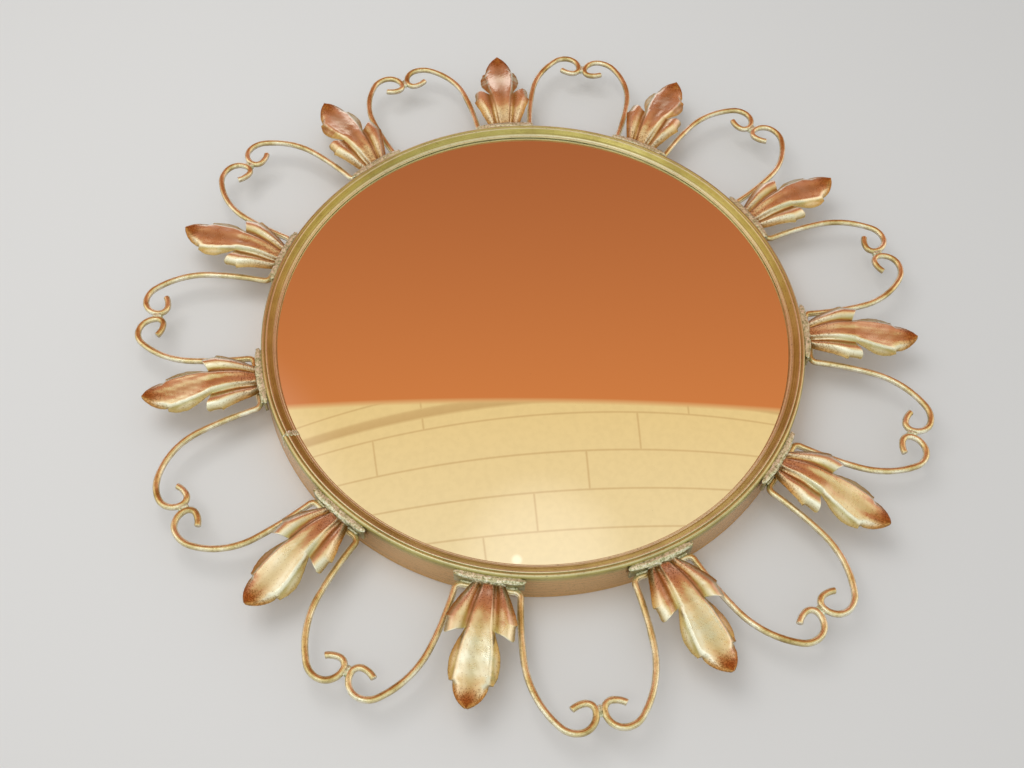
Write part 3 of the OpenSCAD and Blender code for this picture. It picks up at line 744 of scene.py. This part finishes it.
def buildGlass():
    # the face, and the same face a thickness behind it
    r = np.linspace(0.8, glass["edgeR"], 100)
    cap = chain(glassFace(r), glassFace(r[::-9], glass["thick"]))
    fit("convexGlass", discSkin(cap, 256), mirrorSilver, "silvered_glass", ["mirror_glass"])


buildGlass()
print("glass set")

# Eleven units of a plate, a leaf and two rods, each soldered on by eye.
units = {
    "count": 11,
    "turns": (0.8, 0.6, 0.3, 0.2, -0.5, -0.5, -0.6, -1.3, 1.6, 0.3, 0.8),
    "leans": (1.2, 0.4, 0.8, 0.6, 1.2, -4, 0.4, -0.4, 1.6, 1.2, 3.6),
    "heartTurns": (0, 0, -0.3, 0.3, -0.5, -0.7, -1, -0.3, 0.7, 0.9, 0.4),
    "heartRises": (-0.5, -1, 0.5, 0, 2, 2, 1.5, -2, -0.5, 0, -2),
    "faceR": 178.85,  # outer face of the plates, from the axis
}
pitch = 360 / units["count"]


def unitTurn(i):
    return -i * pitch - units["turns"][i]


def heartTurn(i):
    return -(i + 0.5) * pitch - units["heartTurns"][i]


scroll = {
    "rodR": 2, "z": 17.3, "sides": 20,
    "footIn": 7, "footOut": 19, "cornerR": 4,
    "bowLong": 36, "bowLean": 10, "shoulderShare": 0.68,
    "crownR": 10.2, "hookR": 5, "tailR": 14, "tailTurn": 35,
    "reach": 78.5, "heartHalf": 2.3,
}


def stepEnd(state, size, turn):
    # where a straight run (turn 0) or an arc of that radius and turn ends, and its heading there
    x, y, h = state
    a, b = radians(h), radians(h + turn)
    if turn == 0:
        return x + size * cos(a), y + size * sin(a), h
    side = copysign(size, turn)
    return x + side * (sin(b) - sin(a)), y - side * (cos(b) - cos(a)), h + turn


def armSteps(gap, rise):
    # foot, corner and long bow, then two shoulder arcs that close on the heart, the crown, the hook and the tail
    k = scroll
    footR = units["faceR"] + k["rodR"] + 0.05
    footLong = k["footOut"] - k["cornerR"] - k["footIn"]
    lead = gap - degrees(asin((k["footIn"] + footLong / 2) / footR))
    m = radians(lead)
    c, s = cos(m), sin(m)
    start = state = (footR * s + footLong / 2 * c, footR * c - footLong / 2 * s, 180 - lead)
    bowR = k["bowLong"] / sin(radians(k["bowLean"]))
    steps = [(footLong, 0), (k["cornerR"], lead - k["bowLean"] - 90), (bowR, k["bowLean"])]
    for size, turn in steps:
        state = stepEnd(state, size, turn)
    across = state[0] - k["heartHalf"] - k["crownR"]
    up = units["faceR"] + k["reach"] + rise - state[1]
    turn = k["shoulderShare"] * 2 * degrees(atan(across / up))
    c, s = cos(radians(turn)), sin(radians(turn))
    d = 1 - c - s
    steps += [((across * (1 - s) - up * c) / d, turn), (((1 - c) * up - s * across) / d, 90 - turn)]
    return start, steps + [(k["crownR"], 90), (k["hookR"], 90), (k["tailR"], k["tailTurn"])]


def stepLine(state, steps, gap=0.9):
    # x, y and heading of points about a gap apart along the steps
    rows = [state]
    for size, turn in steps:
        long = size if turn == 0 else size * radians(abs(turn))
        n = max(3, round(long / gap))
        for f in range(1, n + 1):
            rows.append(stepEnd(state, size * f / n, 0) if turn == 0 else stepEnd(state, size, turn * f / n))
        state = rows[-1]
    return np.array(rows)


def roundBar(line, z, r, sides, seed, closedLoop=False):
    # a circle of radius r along a flat line, a hair uneven, with softened ends
    s = along(line[:, :2])
    stations, inset = (s[:-1], 0 * s[:-1]) if closedLoop else softEnds(s[-1], 0.9, 0.55)
    x, y, h = (np.interp(stations, s, column) for column in line.T)
    h = np.radians(h)
    size = (r - inset) * (1 + 0.012 * np.sin(stations * 0.35 + seed) + 0.008 * np.sin(stations * 1.3 + seed * 2))
    a = np.linspace(0, 2 * pi, sides, endpoint=False)
    loop = size[:, None, None] * stacked(np.cos(a), np.sin(a))
    rings = swept(stacked(x, y, z), stacked(-np.sin(h), np.cos(h), 0), (0, 0, 1), loop)
    grain = stacked(stations[:, None], loop[..., 0], loop[..., 1]).reshape(-1, 3)
    if not closedLoop:
        grain = chain(grain, [(stations[0], 0, 0), (stations[-1], 0, 0)])
    return rings, grain


def buildScrolls():
    # each heart has an arm on the next leaf's plate, and a mirrored arm on the last one's
    k, n = scroll, units["count"]
    for i in range(n):
        turn, rise, after = units["heartTurns"][i], units["heartRises"][i], (i + 1) % n
        for name, own, lean, mirror in (("left", after, units["turns"][after] - turn, 1),
                                        ("right", i, turn - units["turns"][i], -1)):
            line = stepLine(*armSteps(pitch / 2 + lean, rise))
            rings, grain = roundBar(line, k["z"], k["rodR"], k["sides"], i + mirror)
            form = skin(turned(rings * (mirror, 1, 1), heartTurn(i)))
            fit(f"{name}Scroll_{own + 1}", form, rodBrass, "brass_rod", [f"scroll_{name}_{own + 1}"], grain=grain)


buildScrolls()
print("scrolls bent")

heart = {"wide": 2, "long": 3.4, "high": 1.9}


def buildHeartSolder():
    # a lumpy egg between the two rods of each heart
    k = heart
    parts = []
    for i in range(units["count"]):
        y = units["faceR"] + scroll["reach"] + units["heartRises"][i] - scroll["crownR"]
        line = stacked(0, np.linspace(y - k["long"], y + k["long"], 21), scroll["z"])
        v, q, t = solderBead(line, k["wide"], k["high"], i + 1, 18, 0.16, 2.6)
        parts.append((turned(v, heartTurn(i)), q, t))
    fit("heartSolder", joined(parts), softSolder, "solder", ["heart_solder"])


buildHeartSolder()
print("hearts soldered")

leaf = {
    "long": 71.5, "thick": 0.8, "z": 20.4,
    "footHalf": 9,
    "footStrip": 0.42,  # the middle lobe's share of the foot
    "sideHalf": 20.5, "sideRise": 3.8,
    "sideEnd": ((0, 0.3, 0.6, 0.82, 0.93, 1), (0, 0.35, 0.8, 1, 0.86, 0.55)),  # share of the rise, over the width
    "sideRidge": 0.55,  # where a side lobe's ridge stands in its width
    "tearRow": 0.75,  # share of the way out where a side lobe's edge is torn
    "rib": 0.7,  # thin rib between the lobes, at the foot
    "notchHalf": 8.3, "notchY": 29, "lobeHalf": 14.2,
    # share of the widening from the notches to the widest, over the middle lobe's length
    "lobeSpread": ((0, 0.06, 0.13, 0.27, 0.41, 0.52, 0.62, 0.74, 0.84, 0.97),
                   (0, 0.1, 0.24, 0.56, 0.81, 0.94, 1, 0.97, 0.9, 0.66)),
    "cornerRows": (0.84, 1.16),  # rows before and after the corners of the point, and the half widths there
    "cornerHalf": (13.6, 9.6),
    "pointHalf": 9.8, "pointLong": 14.5, "tipHalf": 0.6,
    # share of the arch that the middle line stands over the foot, from the plate to the tip
    "spine": ((0, 0.08, 0.16, 0.25, 0.33, 0.42, 0.55, 0.68, 0.8, 0.88, 0.95, 1),
              (0, 0.36, 0.75, 0.97, 1, 0.96, 0.72, 0.36, 0.12, 0.12, 0.3, 0.5)),
    "arch": 6.6,
    "flute": 2.5,
    "fluteAt": 0.62,  # where the middle lobe's ridges stand in its half width
    "edgeFall": 3.2,
    "fold": 0.4,  # crease from each notch to the corner of the point: height, width, start and how far it spreads
    "foldWide": 1.7, "foldX": 6.9, "foldOut": 2.6,
    "ragged": (0.022, 0.018),  # of the side lobes' and the middle lobe's edges, as shares of the width
    "wave": 0.18, "twist": 0.5,
    "sideCols": 16, "midCols": 18, "rows": 38, "outRows": 74,
}


def smoothSpine(t):
    # height of the middle line at t, from the plate (0) to the tip (1), averaged over a short stretch
    places = (share(t + d) for d in (-0.05, -0.025, 0, 0.025, 0.05))
    return leaf["arch"] * sum(np.interp(place, *leaf["spine"]) for place in places) / 5


def ridge(u, top):
    # a rounded ridge with its top at that share, from 0 in the trough to 1
    return (1 - np.cos(np.minimum(np.radians(330), pi * u / top))) / 2


def fluteTop(u, middle):
    # height across the middle lobe: two ridges at a share of its half width, with less between them
    at = leaf["fluteAt"]
    inner = middle + (1 - middle) * (1 - np.cos(pi * np.minimum(u / at, 1))) / 2
    outer = (1 + np.cos(0.85 * pi * share((u - at) / (1 - at)))) / 2
    return np.where(u < at, inner, outer)


def lobeGrid(m, v, seed):
    # part with three lobes: m is the column, 0 in the middle, 1 at the valleys and 2 at the edges
    k = leaf
    u, w = np.minimum(np.abs(m), 1), share(np.abs(m) - 1)
    strip = k["footStrip"] * k["footHalf"]
    strip = strip + (k["notchHalf"] - strip) * v ** 0.8
    outer = k["footHalf"] + (k["sideHalf"] - k["footHalf"]) * np.minimum(v / k["tearRow"], 1) ** 0.85
    torn = np.where(v < k["tearRow"], 0, k["sideHalf"] * (0.07 - 0.08 * (v - k["tearRow"])))
    ragged = 1 + k["ragged"][0] * w ** 4 * ripple(20 * v, 3 * np.sign(m), seed, 5.5)
    x = np.sign(m) * (u * strip + w * (outer - strip) * ragged - torn * w ** 9)
    end = k["sideRise"] * np.interp(w, *k["sideEnd"])
    y = v * (k["notchY"] + end + 0.35 * w * ripple(9 * w, 5 * np.sign(m), seed + 2, 4) * (w < 1))
    top = np.where(w > 0, ridge(w, k["sideRidge"]), (1 - 0.2 * v) * fluteTop(u, 0.92 - 0.3 * v))
    fall = np.where(w > 0, 0.25 + (0.15 + 0.6 * v) * w * w, 0.25 * u * u)
    rib = np.exp(-((np.abs(m) - 1) / 0.09) ** 2) * (1 - v) ** 0.5 * share(v * 8)
    z = smoothSpine(y / k["long"]) + k["flute"] * top - k["edgeFall"] * fall + k["rib"] * rib
    return x, y, z, np.maximum(top, rib)


def middleGrid(m, v, seed):
    # the middle lobe past the notches (v 0 to 1) and the spooned point (v 1 to 2)
    k = leaf
    u = np.abs(m)
    lobe, point = np.minimum(v, 1), share(v - 1)
    before, after = k["cornerRows"]
    half = k["notchHalf"] + (k["lobeHalf"] - k["notchHalf"]) * np.interp(lobe, *k["lobeSpread"])
    tip = k["tipHalf"] + (k["pointHalf"] - k["tipHalf"]) * (1 - point ** 2) ** 0.8
    inner = np.where(v < before, half, np.where(v < after, np.interp(v, k["cornerRows"], k["cornerHalf"]), tip))
    half = np.where(v < 0.995, half, tip)
    ragged = 1 + k["ragged"][1] * ripple(26 * v, 4 * np.sign(m), seed + 4, 7) * share(v * 5)
    x = np.sign(m) * (u * inner + (half - inner) * u ** 9) * ragged
    y = k["notchY"] + lobe * (k["long"] - k["notchY"] - k["pointLong"]) + point * k["pointLong"]
    deep = np.where(v < 1, 0.8 - 0.2 * lobe, 0.3 * (1 + np.cos(pi * point)))
    fall = np.where(v < 1, 0.25 + 0.75 * np.sin(pi * np.minimum(1, lobe * 0.8)), 0.69 * (1 - point * 0.6))
    top = fluteTop(u, 0.62 - 0.12 * lobe)
    z = smoothSpine(y / k["long"]) + k["flute"] * deep * top - k["edgeFall"] * fall * u * u
    # the fold is a low ridge with a narrow trough just outside it
    off = (u * inner - k["foldX"] - k["foldOut"] * lobe) / k["foldWide"]
    fade = np.interp(v, [0, 0.15, 0.88, 1.0], [0.2, 1, 1, 0])
    crease, trough = (fade * share(1 - np.abs(place)) for place in (off, off - 1))
    z += k["fold"] * (crease - trough)
    return x, y, z, share(top + 0.4 * crease - 0.7 * trough) * share(1.4 - point * 1.4)


def leafSheet(i):
    # two grids that share the row at the notches: points with the height of the ridges, the columns' distance
    # from the middle, quads, and the loop of points round the edge
    k, seed = leaf, i * 1.37
    side, mid = (np.append(np.linspace(0, 0.93, k[cols])[1:], (0.975, 1)) for cols in ("sideCols", "midCols"))
    middle = chain(-mid[::-1], [0], mid)
    columns = chain(-1 - side[::-1], middle, 1 + side)
    rows = np.sort(np.append(np.linspace(0, 0.96, k["rows"]), (0.744, 0.756, 0.985, 1)))
    outRows = np.sort(np.append(np.linspace(0.025, 1.93, k["outRows"]), (0.985, 1.0, 1.97, 1.99, 2)))
    m, v = np.meshgrid(columns, rows)
    m2, v2 = np.meshgrid(middle, outRows)
    low, high = stacked(*lobeGrid(m, v, seed)), stacked(*middleGrid(m2, v2, seed))
    index = np.arange(m.size).reshape(m.shape)
    first, last = len(side), len(side) + len(middle)
    outer = chain(index[-1:, first:last], m.size + np.arange(m2.size).reshape(m2.shape))
    border = chain(share(np.abs(m) - 1).ravel(), np.abs(m2).ravel())
    loop = chain(index[:, 0], index[-1, 1:first + 1], outer[1:, 0], outer[-1, 1:], outer[-2::-1, -1],
                           index[-1, last:], index[-2::-1, -1], index[0, -2:0:-1])
    sheet = chain(low.reshape(-1, 4), high.reshape(-1, 4))
    return sheet, border, chain(gridFaces(index), gridFaces(outer)), loop


def buildLeaf(i):
    # the waved and leaning sheet, a copy a sheet's thickness in front, and a rounded edge
    k, seed = leaf, i * 1.37
    sheet, border, quads, loop = leafSheet(i)
    p, top = sheet[:, :3].copy(), sheet[:, 3]
    t = p[:, 1] / k["long"]
    twist = k["twist"] * ripple(p[:, 0] * 0.3, p[:, 1] * 0.3, seed + 7, 22) * t * (1 - t) * 2
    p[:, 2] += k["wave"] * ripple(p[:, 0], p[:, 1] * 0.6, seed + 1, 13) + twist
    p[:, 0] += tan(radians(units["leans"][i])) * p[:, 1]
    way = np.roll(p[loop], -1, axis=0) - np.roll(p[loop], 1, axis=0)
    away = unit(stacked(-way[:, 1], way[:, 0], 0))
    edge = p[loop] + away * k["thick"] * 0.3 + (0, 0, k["thick"] / 2)
    verts = chain(p, p + (0, 0, k["thick"]), edge) + (0, units["faceR"] + 0.05, k["z"])
    n = len(p)
    edge = 2 * n + np.arange(len(loop))
    front, back = (gridFaces(np.stack(pair), wrapCols=True) for pair in ((n + loop, edge), (edge, loop)))
    faces = chain(quads[:, ::-1], quads + n, front, back)
    # dull at the point, the foot and the edges; pale on the ridges as wear and painted highlight and dark in the
    # troughs as painted shade; raw behind
    dull = share((t - 0.80) / 0.14) + share(1 - t / 0.30) + 0.5 * share((border - 0.7) / 0.3)
    dull = chain(dull, dull, 0.3 * dull[loop])
    wear = chain(top, top, 0 * loop + 0.8)
    raw = chain(0 * top + 1.0, 0 * top, 0 * loop)
    fit(f"stampedLeaf_{i + 1}", (turned(verts, unitTurn(i)), faces), leafBrass, "stamped_brass", [f"leaf_{i + 1}"],
        wear=wear, dull=dull, raw=raw)


for i in range(units["count"]):
    buildLeaf(i)
print("leaves stamped")

plate = {"long": 41, "thick": 2, "high": 10.4, "topZ": 25.2, "cornerR": 0.5}


def ringLine(x, r, z):
    # points x mm along the plate from its middle, at radius r and height z, with the unit at the top
    a = x / r
    return stacked(r * np.sin(a), r * np.cos(a), z)


def buildPlate(i):
    # a rounded bar bent to the side wall
    k = plate
    stations, inset = softEnds(k["long"], 1.2, k["cornerR"])
    middleR = units["faceR"] - k["thick"] / 2
    line = ringLine(stations - k["long"] / 2, middleR, k["topZ"] - k["high"] / 2)
    out = line * (1, 1, 0) / middleR
    loop = roundedLoop(k["thick"] / 2 - inset, k["high"] / 2 - inset, k["cornerR"] * 1.02 - inset)
    form = skin(turned(swept(line, out, (0, 0, 1), loop), unitTurn(i)))
    fit(f"solderedPlate_{i + 1}", form, plateBrass, "soldered_plate", [f"base_plate_{i + 1}"])


def buildPlateSolder(i):
    # one rough band over the plate's front edge, a bead along the leaf's foot, and a fillet on each rod's foot
    faceR, seed = units["faceR"], i * 2.3 + 0.4
    x = np.linspace(-plate["long"] / 2 - 0.6, plate["long"] / 2 + 0.4, 90)
    sway = 0.35 * ripple(x, 0 * x, seed, 14)
    band = ringLine(x, faceR - 1.55 + sway, plate["topZ"] - 0.25 + 0.3 * sway)
    parts = [solderBead(band, 2.25, 0.9, seed, 32, 0.1, 6)]
    x = np.linspace(-leaf["footHalf"] - 0.8, leaf["footHalf"] + 0.8, 50)
    strip = leaf["footStrip"] * leaf["footHalf"]
    u, w = np.abs(x) / strip, share((np.abs(x) - strip) / (leaf["footHalf"] - strip))
    lift = leaf["flute"] * np.where(u < 1, ridge(u, 0.6), ridge(w, leaf["sideRidge"]))
    parts.append(solderBead(ringLine(x, faceR + 0.35, leaf["z"] + 0.9 + lift), 0.95, 1.1, seed + 1, 18, 0.14, 3))
    for side in (-1, 1):
        x = side * np.linspace(scroll["footIn"] - 0.8, scroll["footOut"] - 2.2, 30)
        for level in (-1.5, 1.5):
            foot = ringLine(x, faceR + 0.5, scroll["z"] + level)
            parts.append(solderBead(foot, 0.8, 0.8, seed + side + level, 14, 0.12, 3))
    v, q, t = joined(parts)
    fit(f"plateSolder_{i + 1}", (turned(v, unitTurn(i)), q, t), softSolder, "solder")


for i in range(units["count"]):
    buildPlate(i)
    buildPlateSolder(i)
print("plates soldered")

back = {
    "recess": 9,  # from the wall to the board
    "boardThick": 3.2, "boardR": 173.8,
    "packInR": 158.4, "packOutR": 173.2,
    "tabCount": 6, "tabWide": 14, "tabReach": 11, "tabThick": 0.8, "tabFoot": 6,
    "hingeY": 112, "hingeZ": 6.37,
    "strapWide": 14, "strapLong": 17, "strapThick": 1,
    "wireR": 1.5, "play": 0.08,
    "rivetAt": (6, 13),  # down from the ring's bar
    "rivetR": 1.4, "rivetHeadR": 2.4, "rivetHead": 0.9,
    "ringWide": 23, "ringSide": 8, "ringCorner": 3,
}


def buildBoard():
    # a flat disc with a softened edge
    k = back
    z0, z1, r = k["recess"], k["recess"] + k["boardThick"], k["boardR"]
    ring = np.linspace(4, r - 0.6, 12)
    profile = chain(
        stacked(ring, z0), arcPoints((r - 0.4, z0 + 0.4), 0.4, -90, 0, 5),
        arcPoints((r - 0.4, z1 - 0.4), 0.4, 0, 90, 5), stacked(ring[::-1], z1),
    )
    fit("backingBoard", discSkin(profile, 256), hardboard, "hardboard", ["backing_board"])


def buildPacking():
    # a ring of card whose front follows the back of the glass
    k = back
    r = np.linspace(k["packOutR"], k["packInR"], 6)
    front = glassFace(r, glass["thick"]) - (0, 0.05)
    profile = chain(stacked(r[::-1], k["recess"] + k["boardThick"] + 0.05), front)
    fit("packingRing", skin(lathe(profile, 256), True), packingCard, "packing_card", ["packing_strip"])


def sheetStrip(path, thick, wide, corner=0.3):
    # a rounded bar of that thickness and width along a bent path of (across, z) points
    s = along(path)
    stations, inset = softEnds(s[-1], 0.5, corner)
    y, z = (np.interp(stations, s, column) for column in path.T)
    way = unit(np.gradient(stacked(y, z), stations, axis=0))
    loop = roundedLoop(wide / 2 - inset, thick / 2 - inset, corner * 1.02 - inset)
    return swept(stacked(0, y, z), (1, 0, 0), stacked(0, -way[:, 1], way[:, 0]), loop)


def buildTabs():
    # six strips soldered inside the wall and bent over the board
    k = back
    wallR = rimSize["crest"] + rimSize["shoulderOut"] + rimSize["wallFlare"] - rimSize["strip"] - 0.45
    topZ = k["recess"] - 0.05 - k["tabThick"] / 2
    bend = 1.1
    path = chain(
        linePoints((wallR - 0.4, topZ - k["tabFoot"] + 0.5), (wallR - 0.6, topZ - bend), 6),
        arcPoints((wallR - 0.6 - bend, topZ - bend), bend, 0, 90, 8),
        linePoints((wallR - 0.8 - bend, topZ), (wallR - k["tabReach"], topZ), 8),
    )
    parts = []
    for i in range(k["tabCount"]):
        rings = sheetStrip(path, k["tabThick"], k["tabWide"])
        a = rings[..., 0] / k["boardR"]
        bent = stacked(rings[..., 1] * np.sin(a), rings[..., 1] * np.cos(a), rings[..., 2])
        parts.append(skin(turned(bent, i * 360 / k["tabCount"] - 60)))
    fit("retainingTabs", joined(parts), sheetBrass, "sheet_brass", ["retaining_tabs"])


def buildStrap():
    # a strip from the board's face, round the ring's bar and back on itself
    k = back
    r = k["wireR"] + k["play"] + k["strapThick"] / 2
    flatZ = k["recess"] - 0.05 - k["strapThick"] / 2
    low = k["hingeY"] - k["strapLong"]
    turnAt = degrees(asin(min(1, (flatZ - k["hingeZ"]) / r)))
    path = chain(
        linePoints((low, flatZ), (k["hingeY"] + r * cos(radians(turnAt)), flatZ), 14),
        arcPoints((k["hingeY"], k["hingeZ"]), r, turnAt, -245, 40),
    )
    strip = skin(sheetStrip(path, k["strapThick"], k["strapWide"]))
    fit("hangerStrap", strip, sheetBrass, "sheet_brass", ["hanger_strap"])


def buildRivets():
    # a domed head, a shank, and the spread tail behind the board
    k = back
    strapZ = k["recess"] - 0.1 - k["strapThick"]
    boardZ = k["recess"] + k["boardThick"] + 0.05
    t = np.linspace(0.08, 1, 10)
    rise = np.sqrt(share(1 - 0.94 * t ** 2.4))
    dome = stacked(k["rivetHeadR"] * t, strapZ - k["rivetHead"] * rise)
    tail = arcPoints((k["rivetHeadR"] - 0.3, boardZ + k["rivetHead"] - 0.3), 0.3, 0, 90, 5)
    shank = [(k["rivetR"], strapZ), (k["rivetR"], boardZ), (k["rivetHeadR"], boardZ)]
    profile = chain(dome, shank, tail, [(0.3, boardZ + k["rivetHead"])])
    parts = [discSkin(profile, 40, (0, k["hingeY"] - down, 0)) for down in k["rivetAt"]]
    fit("hangerRivets", joined(parts), sheetBrass, "rivet_brass", ["hanger_rivets"])


def buildRing():
    # wire along a bar, two sides and a half circle, bent face on and hung on the bar's axis
    k = back
    half = k["ringWide"] / 2
    steps = [(k["ringWide"] - 2 * k["ringCorner"], 0), (k["ringCorner"], -90), (k["ringSide"], 0), (half, -180),
             (k["ringSide"], 0), (k["ringCorner"], -90)]
    line = stepLine((k["ringCorner"] - half, k["hingeY"], 0), steps, 0.6)
    rings, grain = roundBar(line, k["hingeZ"], k["wireR"], 24, 2, True)
    fit("hangerRing", skin(rings, True), rodBrass, "brass_wire", ["hanger_ring"], "ring", grain=grain)


buildBoard()
buildPacking()
buildTabs()
buildStrap()
buildRivets()
buildRing()
print("back closed and hanger fitted")
